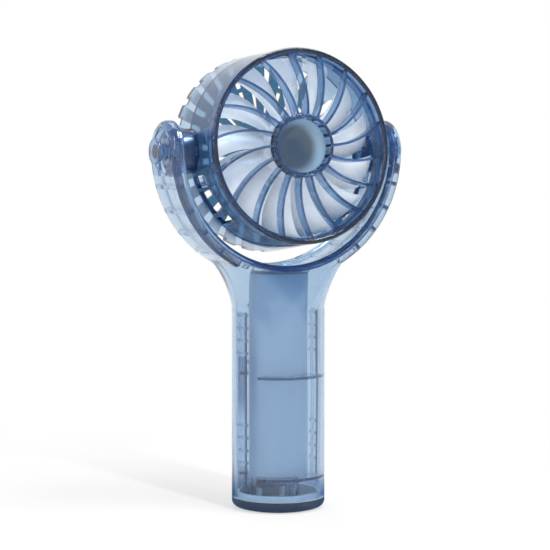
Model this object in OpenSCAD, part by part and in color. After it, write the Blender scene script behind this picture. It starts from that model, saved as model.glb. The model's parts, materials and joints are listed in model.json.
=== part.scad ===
// Handheld fan with a tilting head, in a clear blue body.
// The handle stands on its base at z = 0, the head faces the -Y side.

/* [Handle] */
// Outer diameter of the round handle
handle_d = 40; // [37:0.5:46]
// Wall of the handle shells
handle_wall = 1.8; // [1.4:0.1:2.2]
// Height at which the handle starts to widen into the fork
flare_start = 86; // [82:1:100]
// Height from there to the floor of the fork
neck_h = 17.3; // [15:0.1:22]
// Height of the dark base cap
base_h = 5; // [4.5:0.1:8]
// Rounding of the lower edge of the base cap
base_round = 3; // [1:0.1:4]

/* [Fork] */
// Clear width between the two arms
fork_gap = 100; // [98:1:116]
// Thickness of the hollow arms
fork_thick = 4.5; // [4.2:0.1:7]
// Depth of the arms, front to back
fork_depth = 26; // [24:0.5:32]
// Wall of the hollow arms
fork_wall = 1.2; // [1:0.1:1.5]
// Rounding along the outer edges of the arms
fork_round = 3; // [1.5:0.1:3.5]
// Thickness of the cross ribs in the arms
fork_rib = 1.6; // [1.2:0.1:3]

/* [Head] */
// Upward tilt of the head as it stands
head_tilt = 5.93; // [-30:0.01:45]
// Outer radius of the head at its front rim
rim_r = 41.2; // [38:0.1:42]
// Outer radius of the head at the parting line
seam_r = 42; // [38.5:0.1:42.6]
// Outer radius of the head at its back
back_r = 42.5; // [38.5:0.1:43]
// Distance from the tilt axis forward to the rim
rim_front = 22.9; // [20:0.1:24]
// Distance from the tilt axis to the back of the head
head_back = 16; // [15:0.1:19]
// Wall of the drum and of the rear guard
head_wall = 1.8; // [1.4:0.1:2.2]

/* [Grille] */
// Number of swirl ribs
rib_count = 18; // [12:1:24]
// Thickness of a rib
rib_t = 1.1; // [0.8:0.05:1.6]
// Bend radius of a rib
rib_bend = 38; // [30:0.5:60]
// Turn of the rib pattern about the hub
rib_phase = 0.5; // [-10:0.1:10]
// Depth of the rim ring
rim_len = 4.9; // [3.5:0.1:6]
// Width of the rim ring
rim_w = 2.2; // [1.9:0.1:3]
// Outer radius of the hub ring
hub_r = 13.4; // [11:0.1:16]
// Distance that the hub ring stands in front of the rim
hub_proud = 2.5; // [0.5:0.1:4]
// Wall of the hub ring
hub_wall = 1.4; // [1:0.1:2]

/* [Rear guard] */
// Number of bars round the guard
bar_count = 28; // [18:2:32]
// Share of the pitch that a slot of the guard takes
slot_share = 0.42; // [0.3:0.01:0.6]
// Thickness of the back of the guard
back_t = 2; // [1.6:0.1:3]
// Radius of the solid middle of the guard
back_hub_r = 16; // [15:0.5:20]
// Radius of the ring that ties the bars
tie_r = 29; // [25:0.5:33]

/* [Impeller] */
// Number of blades
blade_count = 13; // [7:1:15]
// Clearance from the blade tips to the drum
tip_gap = 1.5; // [1.3:0.1:3]
// Depth of the blades along the axis
blade_h = 7.5; // [6:0.1:9]
// Thickness of a blade
blade_t = 1; // [0.8:0.1:1.6]
// Share of the circle that the blades cover, seen from the front
blade_cover = 1.1; // [0.8:0.01:1.2]

/* [Motor] */
// Radius of the motor can
motor_r = 10.5; // [9.5:0.1:10.6]
// Length of the motor can
motor_len = 18; // [16:0.1:19]
// Radius of the motor shaft
shaft_r = 1; // [0.75:0.05:1.25]

/* [Pivots] */
// Radius of the pivot pins
pin_r = 3.9; // [3.5:0.05:4.2]
// Radius of the knobs
knob_r = 5.7; // [5:0.1:7.5]
// Thickness of the knobs
knob_t = 2; // [1.6:0.1:3]
// Distance that the knobs stand out from the arms
knob_proud = 3.5; // [2.6:0.1:5]
// Radius of the bosses on the head
boss_r = 9.5; // [8.5:0.1:10.5]

/* [Battery and controls] */
// Radius of the battery cell
cell_r = 10.6; // [9.2:0.1:10.8]
// Length of the battery cell
cell_len = 65; // [60:0.5:70]
// Wall of the battery sleeve
sleeve_wall = 1.7; // [1.5:0.1:2.4]
// Radius of the power button
button_r = 4.5; // [3.5:0.1:5]
// Travel of the power button
button_travel = 0.5; // [0.3:0.05:0.6]
// Height of the power button
button_z = 74; // [70:0.5:78]

/* [Clearances] */
// Play of a pin or shaft in its bearing
run_gap = 0.05; // [0.02:0.01:0.1]
// Gap between parts that move past each other
move_gap = 0.3; // [0.25:0.05:0.6]
// Gap between parts that are laid into each other
lay_gap = 0.1; // [0.05:0.01:0.2]

/* [Hidden] */
$fn = 96;
eps = 0.01;
handle_r = handle_d / 2;
handle_ri = handle_r - handle_wall;
fork_ri = fork_gap / 2;
fork_ro = fork_ri + fork_thick;
half_depth = fork_depth / 2;
pivot_z = flare_start + neck_h + fork_ri;
// widening of the handle: an arc that leaves the handle upright and runs into the fork
flare_d = pivot_z - flare_start;
flare_over = 1.02;
flare_r = flare_over * (pow(handle_r, 2) + pow(flare_d, 2) - pow(fork_ro, 2)) / (2 * (fork_ro - handle_r));
flare_top = pivot_z - fork_ro * cos(atan2(handle_r + flare_r, flare_d));
flare_sink = 0.3;
flare_seat = 0.03;
// overlap of pieces that are moulded in one
fuse = 0.5;
flare_square = 5;
flare_rings = 10;
flare_steps = 22;
// pivot ends of the arms
end_drop = 9.5;
end_angle = asin(end_drop / fork_ri);
rib_angles = [16, 28, 40, 52, 64];
channel_stop = 74;
channel_mid = fork_ri + fork_thick / 2;
lead_r = 0.6;
lead_knuckle = 1.1 * lead_r;
recess_r = 9;
recess_depth = 1.5;
pad_h = 0.5;
pad_r = 8;
knob_face = fork_ro + knob_proud;
neck_r = 3;
flange_r = 5.4;
flange_t = 1.2;
lead_sag = channel_mid - sqrt(pow(channel_mid, 2) - pow(flange_r, 2));
flange_in = 0.9;
flange_x = fork_ri + flange_in;
pin_bore = 1.6;
lead_bore = 2;
washer_t = 1;
washer_r = 6.5;
washer_x = fork_ri - pad_h - washer_t;
boss_end = washer_x - move_gap;
boss_sink = 0.3;
bush_r = 6;
bush_in = seam_r;
lead_half_gap = lead_knuckle + move_gap / 2;
pin_in = bush_in + move_gap;
// head, measured along its own axis with the front positive
rim_back = rim_front - rim_len;
drum_ri = rim_r - head_wall;
seam_ri = seam_r - head_wall;
back_ri = back_r - head_wall;
spigot_len = 3;
spigot_t = 1.2;
spigot_r = min(drum_ri, drum_ri + (seam_ri - drum_ri) * spigot_len / rim_back) - lay_gap;
drum_narrow = min(drum_ri, seam_ri);
rib_lift = 0.2;
rib_back = rim_back + rib_lift;
rib_root_lift = 1;
hub_front = rim_front + hub_proud;
hub_floor = rib_back + rib_root_lift;
hub_floor_t = 1.2;
tooth_w = 1;
tooth_t = 0.7;
cap_r = hub_r - hub_wall - tooth_t - lay_gap;
cap_h = 1.6;
cap_dome = 30;
// windows and snaps of the drum, as angles below the tilt axis
window_at = [18.5, 31.5, 44.5];
window_span = [7, 15, 5.5];
window_h = [1.2, 12];
snap_at = [-window_at[0], -180 + window_at[0], 90];
snap_span = 5;
snap_t = 0.9;
snap_len = 9;
snap_barb = 2;
snap_reach = 1.2;
slot_wrap = 5;
snap_low = -2;
socket_t = 1.4;
socket_h = 5;
back_in = -head_back + back_t;
// impeller and motor
tip_r = drum_narrow - tip_gap;
fan_gap = 2;
fan_front = hub_floor - fan_gap;
fan_hub_r = 13.2;
fan_wall = 1.4;
fan_face = 2;
blade_gap = 0.4;
blade_top = rim_back - spigot_len - blade_gap;
blade_low = blade_top - blade_h;
fan_skirt = 4.1;
fan_low = blade_low - fan_skirt;
blade_rows = 6;
blade_cols = 5;
blade_camber = 1.6;
blade_sweep = 12;
blade_taper = 0.3;
end_bell_t = 2.4;
bell_low = back_in;
can_low = bell_low + end_bell_t;
can_top = can_low + motor_len;
bearing_t = 1.8;
bearing_r = 3;
can_gap = 0.5;
can_bore = shaft_r + can_gap;
insert_r = 2.6;
insert_wall = 1.4;
insert_low = can_top + bearing_t + move_gap;
shaft_cover = 0.6;
shaft_top = fan_front - shaft_cover;
motor_screw_r = 1;
motor_screw_at = 6.5;
motor_screw_len = 2;
screw_head_t = 1;
terminal_at = 5.5;
// handle inside
cell_gap = 0.3;
sleeve_r = cell_r + cell_gap + sleeve_wall;
shelf_z = 13.5;
shelf_t = 1.2;
brace_z = 56.9;
shelf_ri = 9.5;
brace_span = 110;
sleeve_low = shelf_z + shelf_t;
sleeve_floor = 1.4;
plate_t = 0.4;
cell_low = sleeve_low + sleeve_floor + plate_t;
cell_top = cell_low + cell_len;
plug_t = 1.2;
plug_wall = 1.5;
plug_gap = 1;
sleeve_top = pivot_z - fork_ri - fork_wall - plug_gap - plug_t;
// tongues and clip ladders along the seam
tongue_t = 1.1;
tongue_in = 14.5;
tongue_out = 5;
tongue_rise = 4;
tongue_low = base_h + tongue_rise;
tongue_short = 1;
tongue_top = flare_start - tongue_short;
clip_rows = [20, 67];
clip_rungs = 4;
clip_pitch = 5.4;
rung_t = 1;
rung_d = 0.8;
// base
floor_low = 1;
floor_t = 2;
base_under = 0.4;
pad_edge = 1.2;
pad_disc_r = handle_r - base_round - pad_edge;
spigot_h = 2.4;
spigot_wall = 1.4;
post_ring = 13.2;
post_r = 2.7;
post_turns = [-90, 42, 138];
screw_r = 1.1;
screw_head_r = 2.1;
screw_len = 9;
// boards, socket, button
usb_board_t = 1;
usb_board_z = base_h + spigot_h + move_gap;
usb_board_x = 13;
usb_board_y = [4.6, 15.2];
usb_w = 8.9;
usb_h = 3.2;
usb_len = 7.3;
usb_wall = 0.35;
usb_z = usb_board_z + usb_board_t;
usb_sink = 0.2;
usb_end = sqrt(pow(handle_r, 2) - pow(usb_w / 2, 2)) - usb_sink;
usb_post_r = 1.4;
usb_post_x = 5.5;
usb_post_y = 7.4;
board_t = 1;
board_w = 15;
board_rise = 1;
board_over = 2;
board_z = [brace_z + shelf_t + board_rise, flare_start + board_over];
board_y = sleeve_r + 2 * lay_gap;
board_back = board_y + board_t;
post_x = 5.5;
post_inset = 2;
post_z = [board_z[0] + post_inset, board_z[1] - post_inset];
board_post_r = 1.3;
board_post_end = sqrt(pow(handle_ri, 2) - pow(post_x + board_post_r, 2)) + handle_wall / 2;
switch_w = 5;
switch_t = 0.8;
plunger_r = 1.4;
plunger_t = 0.3;
button_in = board_back + switch_t + plunger_t + button_travel + lay_gap;
button_lip = 0.8;
button_flange = button_r + button_lip;
button_flange_t = 0.5;
button_sink = 0.3;
button_out = handle_r - button_sink;
lens_r = 1.3;
lens_drop = 9;
lens_z = button_z - lens_drop;
led_w = 1.6;
led_t = 0.8;
// colours
clear_blue = [0.56, 0.68, 0.83, 0.45];
dark_blue = [0.2, 0.24, 0.31];
pearl = [0.9, 0.91, 0.94];
smoke = [0.32, 0.39, 0.47];
steel = [0.72, 0.73, 0.75];
core_blue = [0.5, 0.62, 0.78];
board_green = [0.1, 0.28, 0.2];
black = [0.06, 0.06, 0.07];
brass = [0.72, 0.58, 0.3];
lead_blue = [0.75, 0.8, 0.87];

// Places

// Head pieces are drawn with x to the right, y up and z along the axis to the front.
module on_head() {
    translate([0, 0, pivot_z]) rotate([-head_tilt, 0, 0]) rotate([90, 0, 0]) children();
}

// Fork pieces are drawn round the tilt axis with z to the front of the handle.
module on_fork() {
    translate([0, 0, pivot_z]) rotate([90, 0, 0]) children();
}

// A round piece along the tilt axis, from x = a to x = b on the +X side.
module along_x(r, a, b) {
    translate([a, 0, 0]) rotate([0, 90, 0]) cylinder(r = r, h = b - a);
}

// A tube wedge round z: radii, heights and angles.
module wedge(ri, ro, z0, z1, from, span) {
    rotate([0, 0, from])
        rotate_extrude(angle = span)
            translate([ri, z0]) square([ro - ri, z1 - z0]);
}

// A straight wire between two points, with round ends.
module wire(a, b, r) {
    d = b - a;
    translate(a)
        rotate([0, acos(d[2] / norm(d)), atan2(d[1], d[0])])
            cylinder(r = r, h = norm(d), $fn = 24);
    translate(a) sphere(r = 1.1 * r, $fn = 24);
    translate(b) sphere(r = 1.1 * r, $fn = 24);
}

// A screw along z: head below z = 0, shank above.
module screw(r, head_r, head_t, length) {
    translate([0, 0, -head_t]) cylinder(r = head_r, h = head_t);
    translate([0, 0, -eps]) cylinder(r = r, h = length);
}

module screw_slot(head_r, head_t) {
    slot_w = 0.6;
    slot_d = 0.5;
    for (turn = [0, 90])
        rotate([0, 0, turn])
            translate([-head_r * 0.7, -slot_w / 2, -head_t - eps])
                cube([head_r * 1.4, slot_w, slot_d]);
}

// Handle and fork shells

function flare_in(t) = t * t * (2.2 - 1.2 * t);
function flare_t(z) = (z - flare_start) / (flare_top - flare_start);
function flare_x(z) = handle_r + flare_r - sqrt(pow(flare_r, 2) - pow(z - flare_start, 2));
function flare_y(z) = handle_r - (handle_r - half_depth + flare_sink) * flare_in(flare_t(z));
function flare_n(z) = 2 + (flare_square - 2) * flare_in(flare_t(z));
function side_pow(v, p) = sign(v) * pow(abs(v), p);
function flare_point(z, u, inset) = [
    (flare_x(z) - inset) * side_pow(cos(u), 2 / flare_n(z)),
    (flare_y(z) - inset) * side_pow(sin(u), 2 / flare_n(z)),
    z
];

// Front half of the widening, as a solid that is closed along the seam plane.
module flare_half(inset) {
    zs = [for (i = [0 : flare_rings]) flare_start + (flare_top - flare_start) * i / flare_rings];
    m = flare_steps + 1;
    points = [for (z = zs) for (j = [0 : flare_steps]) flare_point(z, 180 + 180 * j / flare_steps, inset)];
    sides = [
        for (i = [0 : flare_rings - 1]) for (j = [0 : flare_steps - 1]) each [
            [i * m + j, (i + 1) * m + j + 1, i * m + j + 1],
            [i * m + j, (i + 1) * m + j, (i + 1) * m + j + 1]
        ]
    ];
    seam = [
        for (i = [0 : flare_rings - 1]) each [
            [i * m, i * m + flare_steps, (i + 1) * m + flare_steps],
            [i * m, (i + 1) * m + flare_steps, (i + 1) * m]
        ]
    ];
    low = [for (j = [1 : flare_steps - 1]) [0, j, j + 1]];
    top_0 = flare_rings * m;
    top = [for (j = [1 : flare_steps - 1]) [top_0, top_0 + j + 1, top_0 + j]];
    polyhedron(points, concat(sides, seam, low, top));
}

// Half section of an arm: radius outward, depth from the seam to the front.
module arm_section() {
    translate([fork_ri, 0]) square([fork_thick, half_depth - fork_round]);
    translate([fork_ri, 0]) square([fork_thick - fork_round, half_depth]);
    translate([fork_ro - fork_round, half_depth - fork_round]) circle(r = fork_round);
}

// Arms of the front half: the round band below the tilt axis and the two round ends.
module arms_half() {
    on_fork() {
        rotate([0, 0, 180]) rotate_extrude(angle = 180) arm_section();
    }
    translate([0, 0, pivot_z])
        for (side = [0, 1])
            mirror([side, 0, 0])
                arm_round();
}

// One quarter-round arm end with its flat pad for the washer.
module arm_round() {
    rotate([0, 90, 0])
        rotate([0, 0, 180])
            rotate_extrude(angle = 90)
                arm_profile();
    intersection() {
        along_x(pad_r, fork_ri - pad_h, fork_ri + fork_wall);
        translate([0, -pad_r, -pad_r]) cube([fork_ro, pad_r, 2 * pad_r]);
    }
}

// Profile of an arm end for turning about the tilt axis.
module arm_profile() {
    translate([0, fork_ri]) square([half_depth - fork_round, fork_thick]);
    translate([0, fork_ri]) square([half_depth, fork_thick - fork_round]);
    translate([half_depth - fork_round, fork_ro - fork_round]) circle(r = fork_round);
}

// Hollow of the arms, left standing where the cross ribs are.
module arm_channels() {
    rib_half = fork_rib / channel_mid * 90 / PI;
    starts = concat([end_angle], [for (a = rib_angles) a + rib_half]);
    stops = concat([for (a = rib_angles) a - rib_half], [channel_stop]);
    on_fork()
        for (i = [0 : len(starts) - 1])
            for (from = [-stops[i], starts[i] - 180])
                rotate([0, 0, from])
                    rotate_extrude(angle = stops[i] - starts[i])
                        translate([fork_ri + fork_wall, -1])
                            square([fork_thick - 2 * fork_wall, half_depth - fork_wall + 1]);
}

// Everything that the pivot pins and the motor lead take out of the arms.
module arm_bores() {
    translate([0, 0, pivot_z])
        for (side = [0, 1])
            mirror([side, 0, 0]) {
                along_x(pin_r + lay_gap, fork_ri - pad_h - 1, fork_ro + 1);
                along_x(flange_r + lay_gap, flange_x - lay_gap, flange_x + flange_t + lay_gap);
                along_x(recess_r, fork_ro - recess_depth, fork_ro + 1);
            }
    on_fork()
        rotate([0, 0, -90])
            rotate_extrude(angle = 90)
                translate([channel_mid, 0]) circle(r = lead_r + lay_gap, $fn = 24);
}

// Tongue along one side of the seam, with windows between the rungs of the clips.
module tongue() {
    ro = handle_ri - lay_gap;
    difference() {
        union() {
            wedge(ro - tongue_t, ro, tongue_low, tongue_top, -tongue_in, tongue_in + tongue_out);
            wedge(ro - tongue_t / 2, handle_ri + fuse, tongue_low + fuse, tongue_top - fuse,
                  fuse - tongue_in, tongue_in - 2 * fuse);
            for (z = clip_rows)
                for (i = [0 : clip_rungs - 1])
                    wedge(ro - tongue_t - rung_d, ro - tongue_t / 2, z + i * clip_pitch,
                          z + i * clip_pitch + rung_t, fuse - tongue_in, tongue_in + tongue_out - 1);
        }
        for (z = clip_rows)
            for (i = [0 : clip_rungs - 2])
                wedge(ro - tongue_t - 2, ro + fuse, z + i * clip_pitch + rung_t + 0.8,
                      z + (i + 1) * clip_pitch - 0.8, 0.6, tongue_out - 1.6);
    }
}

// Barbs of the rear shell that sit in the windows of the tongue.
module barbs() {
    ro = handle_ri - lay_gap;
    for (z = clip_rows)
        for (i = [0 : clip_rungs - 2])
            wedge(ro - tongue_t * 0.7, handle_ri + fuse, z + i * clip_pitch + rung_t + 1,
                  z + (i + 1) * clip_pitch - 1, 1, tongue_out - 3);
}

// Front half of the shell pair, before the pieces that differ are added.
module half_shell() {
    difference() {
        union() {
            wedge(handle_ri, handle_r, base_h, flare_start, 180, 180);
            difference() {
                flare_half(flare_seat);
                on_fork() cylinder(r = fork_ri, h = 3 * handle_r, center = true);
            }
            arms_half();
        }
        difference() {
            flare_half(handle_wall - 2 * flare_seat);
            on_fork() cylinder(r = fork_ri + fork_wall + flare_seat, h = 3 * handle_r, center = true);
        }
        arm_channels();
        arm_bores();
    }
    wedge(shelf_ri, handle_ri + fuse, shelf_z, shelf_z + shelf_t, 270 - brace_span / 2, brace_span);
    wedge(sleeve_r + lay_gap, handle_ri + fuse, brace_z, brace_z + shelf_t,
          270 - brace_span / 2, brace_span);
}

// A screw post that hangs from the shelf, at an angle round the handle.
module screw_post(turn) {
    rotate([0, 0, turn])
        translate([post_ring, 0, floor_low + floor_t])
            difference() {
                cylinder(r = post_r, h = shelf_z + fuse - floor_low - floor_t);
                translate([0, 0, -1]) cylinder(r = screw_r + run_gap, h = screw_len + 1);
            }
}

module front_shell() {
    color(clear_blue) {
        half_shell();
        screw_post(post_turns[0]);
        tongue();
        mirror([1, 0, 0]) tongue();
    }
}

module rear_shell() {
    color(clear_blue) {
        difference() {
            mirror([0, 1, 0]) half_shell();
            translate([0, handle_ri - 4, button_z])
                rotate([-90, 0, 0]) cylinder(r = button_r + move_gap, h = 8);
            translate([0, handle_ri - 4, lens_z])
                rotate([-90, 0, 0]) cylinder(r = lens_r + lay_gap, h = 8);
            translate([-usb_w / 2 - lay_gap, handle_ri - 4, usb_z - lay_gap])
                cube([usb_w + 2 * lay_gap, 8, usb_h + 2 * lay_gap]);
        }
        for (i = [1, 2])
            screw_post(post_turns[i]);
        for (z = post_z)
            for (x = [-post_x, post_x])
                translate([x, board_back, z])
                    rotate([-90, 0, 0])
                        cylinder(r = board_post_r, h = board_post_end - board_back);
        barbs();
        mirror([1, 0, 0]) barbs();
    }
}

module base_cap() {
    color(dark_blue)
        difference() {
            union() {
                rotate_extrude() {
                    translate([0, base_under]) square([handle_r - base_round, base_h - base_under]);
                    translate([0, base_under + base_round])
                        square([handle_r, base_h - base_under - base_round]);
                    intersection() {
                        translate([handle_r - base_round, base_under + base_round]) circle(r = base_round);
                        square([handle_r, base_h]);
                    }
                }
                wedge(handle_ri - lay_gap - spigot_wall, handle_ri - lay_gap,
                      base_h - eps, base_h + spigot_h, 0, 360);
            }
            translate([0, 0, -1]) cylinder(r = pad_disc_r + lay_gap, h = floor_low + 1);
            translate([0, 0, floor_low + floor_t])
                cylinder(r = handle_ri - lay_gap - spigot_wall, h = base_h);
            for (turn = post_turns)
                rotate([0, 0, turn]) translate([post_ring, 0, floor_low]) {
                    translate([0, 0, -eps]) cylinder(r = screw_head_r + lay_gap, h = screw_head_t + eps);
                    cylinder(r = screw_r + run_gap, h = floor_t + 1);
                }
        }
    color(dark_blue)
        for (x = [-usb_post_x, usb_post_x])
            translate([x, usb_post_y, floor_low + floor_t - eps])
                cylinder(r = usb_post_r, h = usb_board_z - floor_low - floor_t + eps);
}

module foot_pad() {
    color(black) cylinder(r = pad_disc_r, h = floor_low);
}

module base_screws() {
    color(steel)
        for (turn = post_turns)
            rotate([0, 0, turn]) translate([post_ring, 0, floor_low + screw_head_t])
                difference() {
                    screw(screw_r, screw_head_r, screw_head_t, screw_len - 1);
                    screw_slot(screw_head_r, screw_head_t);
                }
}

// Battery and controls

module battery_sleeve() {
    color(core_blue)
        difference() {
            translate([0, 0, sleeve_low]) cylinder(r = sleeve_r, h = sleeve_top - sleeve_low);
            translate([0, 0, sleeve_low + sleeve_floor])
                cylinder(r = sleeve_r - sleeve_wall, h = sleeve_top - sleeve_low);
        }
}

// Lid of the sleeve with a tube that holds the upper contact on the cell.
module sleeve_plug() {
    stem_r = sleeve_r - sleeve_wall - lay_gap;
    stem_h = sleeve_top - cell_top - plate_t;
    color(core_blue) {
        translate([0, 0, sleeve_top]) cylinder(r = sleeve_r, h = plug_t);
        translate([0, 0, cell_top + plate_t])
            difference() {
                cylinder(r = stem_r, h = stem_h + eps);
                translate([0, 0, -1]) cylinder(r = stem_r - plug_wall, h = stem_h + 1);
            }
    }
}

module battery_cell() {
    nub_r = 3.4;
    nub_h = 0.8;
    color(core_blue) {
        translate([0, 0, cell_low]) cylinder(r = cell_r, h = cell_len - nub_h);
        translate([0, 0, cell_top - nub_h - eps]) cylinder(r = nub_r, h = nub_h + eps);
    }
}

module battery_contacts() {
    plate_r = cell_r - 4 * lay_gap;
    color(steel) {
        translate([0, 0, cell_low - plate_t]) cylinder(r = plate_r, h = plate_t);
        translate([0, 0, cell_top]) cylinder(r = plate_r, h = plate_t);
    }
}

module control_board() {
    color(board_green)
        translate([-board_w / 2, board_y, board_z[0]])
            cube([board_w, board_t, board_z[1] - board_z[0]]);
}

module button_switch() {
    color(black) {
        translate([-switch_w / 2, board_back, button_z - switch_w / 2])
            cube([switch_w, switch_t, switch_w]);
        translate([0, board_back + switch_t - eps, button_z])
            rotate([-90, 0, 0]) cylinder(r = plunger_r, h = plunger_t + eps);
    }
}

module status_led() {
    color(pearl)
        translate([-led_w / 2, board_back, lens_z - led_w / 4])
            cube([led_w, led_t, led_w / 2]);
}

module status_lens() {
    color(pearl)
        translate([0, board_back + led_t, lens_z])
            rotate([-90, 0, 0]) cylinder(r = lens_r, h = handle_r - board_back - led_t - 0.1);
}

module power_button() {
    top_r = 0.6;
    color(dark_blue)
        translate([0, button_in, button_z])
            rotate([-90, 0, 0])
                rotate_extrude() {
                    square([button_flange, button_flange_t]);
                    square([button_r, button_out - button_in - top_r]);
                    square([button_r - top_r, button_out - button_in]);
                    intersection() {
                        translate([button_r - top_r, button_out - button_in - top_r]) circle(r = top_r);
                        square([button_r, button_out - button_in]);
                    }
                }
}

module usb_board() {
    color(board_green)
        translate([-usb_board_x / 2, usb_board_y[0], usb_board_z])
            cube([usb_board_x, usb_board_y[1] - usb_board_y[0], usb_board_t]);
}

// Rounded tube of the charging socket, open to the rear, with its tongue.
module usb_socket() {
    color(steel)
        difference() {
            usb_block(usb_w, usb_h, usb_len, 0);
            translate([0, 1.2, 0]) usb_block(usb_w - 2 * usb_wall, usb_h - 2 * usb_wall, usb_len, usb_wall);
        }
    color(black)
        translate([-usb_w / 2 + 1.3, usb_end - usb_len + 1, usb_z + usb_h / 2 - 0.35])
            cube([usb_w - 2.6, usb_len - 1.6, 0.7]);
}

module usb_block(w, h, length, lift) {
    translate([0, usb_end - usb_len, usb_z + lift])
        rotate([-90, 0, 0])
            translate([0, -h / 2, 0])
                linear_extrude(length) {
                    square([w - h, h], center = true);
                    for (x = [-1, 1])
                        translate([x * (w - h) / 2, 0]) circle(d = h);
                }
}

// Pivots

module pivot_pin(hollow) {
    round_r = 0.8;
    color(clear_blue)
        difference() {
            union() {
                along_x(pin_r, pin_in, fork_ro - recess_depth);
                along_x(flange_r, flange_x, flange_x + flange_t);
                along_x(neck_r, fork_ro - recess_depth - eps, knob_face - eps);
                translate([knob_face - knob_t, 0, 0])
                    rotate([0, 90, 0])
                        rotate_extrude() {
                            square([knob_r - round_r, knob_t]);
                            translate([0, round_r]) square([knob_r, knob_t - 2 * round_r]);
                            for (y = [round_r, knob_t - round_r])
                                translate([knob_r - round_r, y]) circle(r = round_r, $fn = 48);
                        }
            }
            if (hollow) {
                along_x(pin_bore, pin_in - 1, channel_mid + pin_bore);
                translate([channel_mid, 0, -flange_r - 1])
                    cylinder(r = lead_r + lay_gap + lead_sag, h = flange_r + 1, $fn = 24);
            }
        }
}

module pivot_pin_right() {
    translate([0, 0, pivot_z]) pivot_pin(true);
}

module pivot_pin_left() {
    translate([0, 0, pivot_z]) mirror([1, 0, 0]) pivot_pin(false);
}

module thrust_washer() {
    color(pearl)
        difference() {
            along_x(washer_r, washer_x, washer_x + washer_t);
            along_x(pin_r + run_gap, washer_x - 1, washer_x + washer_t + 1);
        }
}

module thrust_washer_right() {
    translate([0, 0, pivot_z]) thrust_washer();
}

module thrust_washer_left() {
    translate([0, 0, pivot_z]) mirror([1, 0, 0]) thrust_washer();
}

module friction_bush() {
    color(pearl)
        difference() {
            along_x(bush_r - lay_gap / 2, bush_in, boss_end);
            along_x(pin_r + run_gap, bush_in - 1, boss_end + 1);
        }
}

module friction_bush_right() {
    on_head() friction_bush();
}

module friction_bush_left() {
    on_head() mirror([1, 0, 0]) friction_bush();
}

module motor_lead_lower() {
    start_angle = 70;
    start = [channel_mid * cos(start_angle), 0, pivot_z - channel_mid * sin(start_angle)];
    stop = [board_w / 2 - lead_r, board_y + board_t / 2, board_z[1] + lead_knuckle + run_gap];
    color(lead_blue) {
        on_fork()
            rotate([0, 0, -start_angle])
                rotate_extrude(angle = start_angle)
                    translate([channel_mid, 0]) circle(r = lead_r, $fn = 24);
        translate([0, 0, pivot_z]) wire([channel_mid, 0, 0], [bush_in + lead_half_gap, 0, 0], lead_r);
        wire(start, stop, lead_r);
    }
}

// Head

// Half of the two bosses: the front half belongs to the drum, the rear half to the guard.
module boss_half(front) {
    for (side = [0, 1])
        mirror([side, 0, 0])
            intersection() {
                along_x(boss_r, seam_ri - 1, boss_end);
                translate([0, -boss_r, front ? 0 : -boss_r]) cube([2 * boss_end, 2 * boss_r, boss_r]);
            }
}

// What the bushes and the motor lead take out of the two bosses and the wall behind them.
module boss_bores() {
    for (side = [0, 1])
        mirror([side, 0, 0]) {
            along_x(bush_r, bush_in, boss_end + 1);
            along_x(lead_bore, seam_ri - 2, boss_end);
        }
}

module front_grille() {
    color(clear_blue)
        on_head() {
            grille_rim();
            intersection() {
                union() {
                    for (i = [0 : rib_count - 1])
                        rotate([0, 0, rib_phase + i * 360 / rib_count]) swirl_rib();
                }
                rib_zone();
            }
            hub_ring();
        }
}

module grille_rim() {
    round_r = 0.9;
    rotate_extrude() {
        translate([rim_r - rim_w, rim_back]) square([rim_w, rim_len - round_r]);
        translate([rim_r - rim_w + round_r, rim_back]) square([rim_w - 2 * round_r, rim_len]);
        for (x = [rim_r - rim_w + round_r, rim_r - round_r])
            translate([x, rim_front - round_r]) circle(r = round_r, $fn = 48);
        translate([spigot_r - spigot_t, rim_back - spigot_len]) square([spigot_t, spigot_len + 1]);
    }
}

// A rib leaves the hub along its radius and bends round to the rim.
module swirl_rib() {
    sweep = 2 * asin((rim_r - hub_r) / (2 * rib_bend)) + 6;
    translate([hub_r - hub_wall / 2, rib_bend, 0])
        rotate([0, 0, -90])
            rotate_extrude(angle = sweep)
                translate([rib_bend - rib_t / 2, 0]) square([rib_t, hub_front + 1]);
}

// Space that the ribs fill: from the hub to the rim, with the front sloping back to the rim.
module rib_zone() {
    rotate_extrude()
        polygon([
            [hub_r - hub_wall / 2, hub_floor],
            [rim_r - rim_w / 2, rib_back],
            [rim_r - rim_w / 2, rim_front - 0.6],
            [hub_r - hub_wall / 2, hub_front - 0.8]
        ]);
}

module hub_ring() {
    round_r = 0.6;
    rotate_extrude() {
        translate([hub_r - hub_wall, hub_floor]) square([hub_wall, hub_front - hub_floor - round_r]);
        translate([hub_r - hub_wall + round_r, hub_floor])
            square([hub_wall - 2 * round_r, hub_front - hub_floor]);
        for (x = [hub_r - hub_wall + round_r, hub_r - round_r])
            translate([x, hub_front - round_r]) circle(r = round_r, $fn = 48);
        translate([0, hub_floor]) square([hub_r - hub_wall + eps, hub_floor_t]);
    }
    for (i = [0 : rib_count - 1])
        rotate([0, 0, (i + 0.5) * 360 / rib_count])
            translate([cap_r + lay_gap, -tooth_w / 2, hub_floor])
                cube([tooth_t + hub_wall / 2, tooth_w, hub_front - hub_floor - 2]);
}

// Bare dished disc in the hub ring.
module hub_cap() {
    color(smoke)
        on_head()
            translate([0, 0, hub_floor + hub_floor_t])
                difference() {
                    cylinder(r = cap_r, h = cap_h);
                    translate([0, 0, cap_dome + cap_h - 1]) sphere(r = cap_dome);
                }
}

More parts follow.
